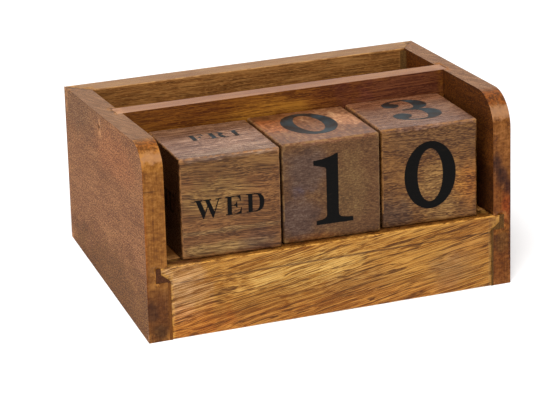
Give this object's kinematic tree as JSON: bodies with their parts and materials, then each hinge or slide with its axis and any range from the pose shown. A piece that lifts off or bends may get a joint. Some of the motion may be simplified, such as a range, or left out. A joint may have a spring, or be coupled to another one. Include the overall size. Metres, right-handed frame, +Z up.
{
  "type": "perpetual desk calendar",
  "caption": "Wooden desk calendar: a case that leans back, with a tray of turnable day and date blocks at the front and an open slot for pens or cards behind them.",
  "frame": {"origin": "on the surface it stands on, in the middle of the whole case's width and length", "axes": "+X to the right as seen from the front, +Y towards the back, +Z up"},
  "size_m": [0.145, 0.0982, 0.0717],
  "materials": {
    "side_wood": "waxed, fine grain",
    "back_wood": "waxed, fine grain",
    "divider_wood": "waxed, dark",
    "rail_wood": "waxed, long golden grain",
    "block_wood": "waxed, soft sheen",
    "filler": "matt wood filler",
    "pin_steel": "drawn wire"
  },
  "bodies": {
    "case": {"left_side": "side_wood", "right_side": "side_wood", "back_board": "back_wood", "divider": "divider_wood", "front_rail": "rail_wood", "floor_board": "back_wood", "left_filler": "filler", "right_filler": "filler", "corner_bead": "filler", "divider_pins": "pin_steel", "pin_fillers": "filler"},
    "day": {"day_block": "block_wood"},
    "tens": {"tens_block": "block_wood"},
    "units": {"units_block": "block_wood"}
  },
  "joints": [
    {"name": "day_lift", "type": "slide", "parent": "case", "child": "day", "axis": [0, 0.153, 0.9882], "range_m": [0, 0.06]},
    {"name": "tens_lift", "type": "slide", "parent": "case", "child": "tens", "axis": [0, 0.153, 0.9882], "range_m": [0, 0.06]},
    {"name": "units_lift", "type": "slide", "parent": "case", "child": "units", "axis": [0, 0.153, 0.9882], "range_m": [0, 0.06]}
  ]
}
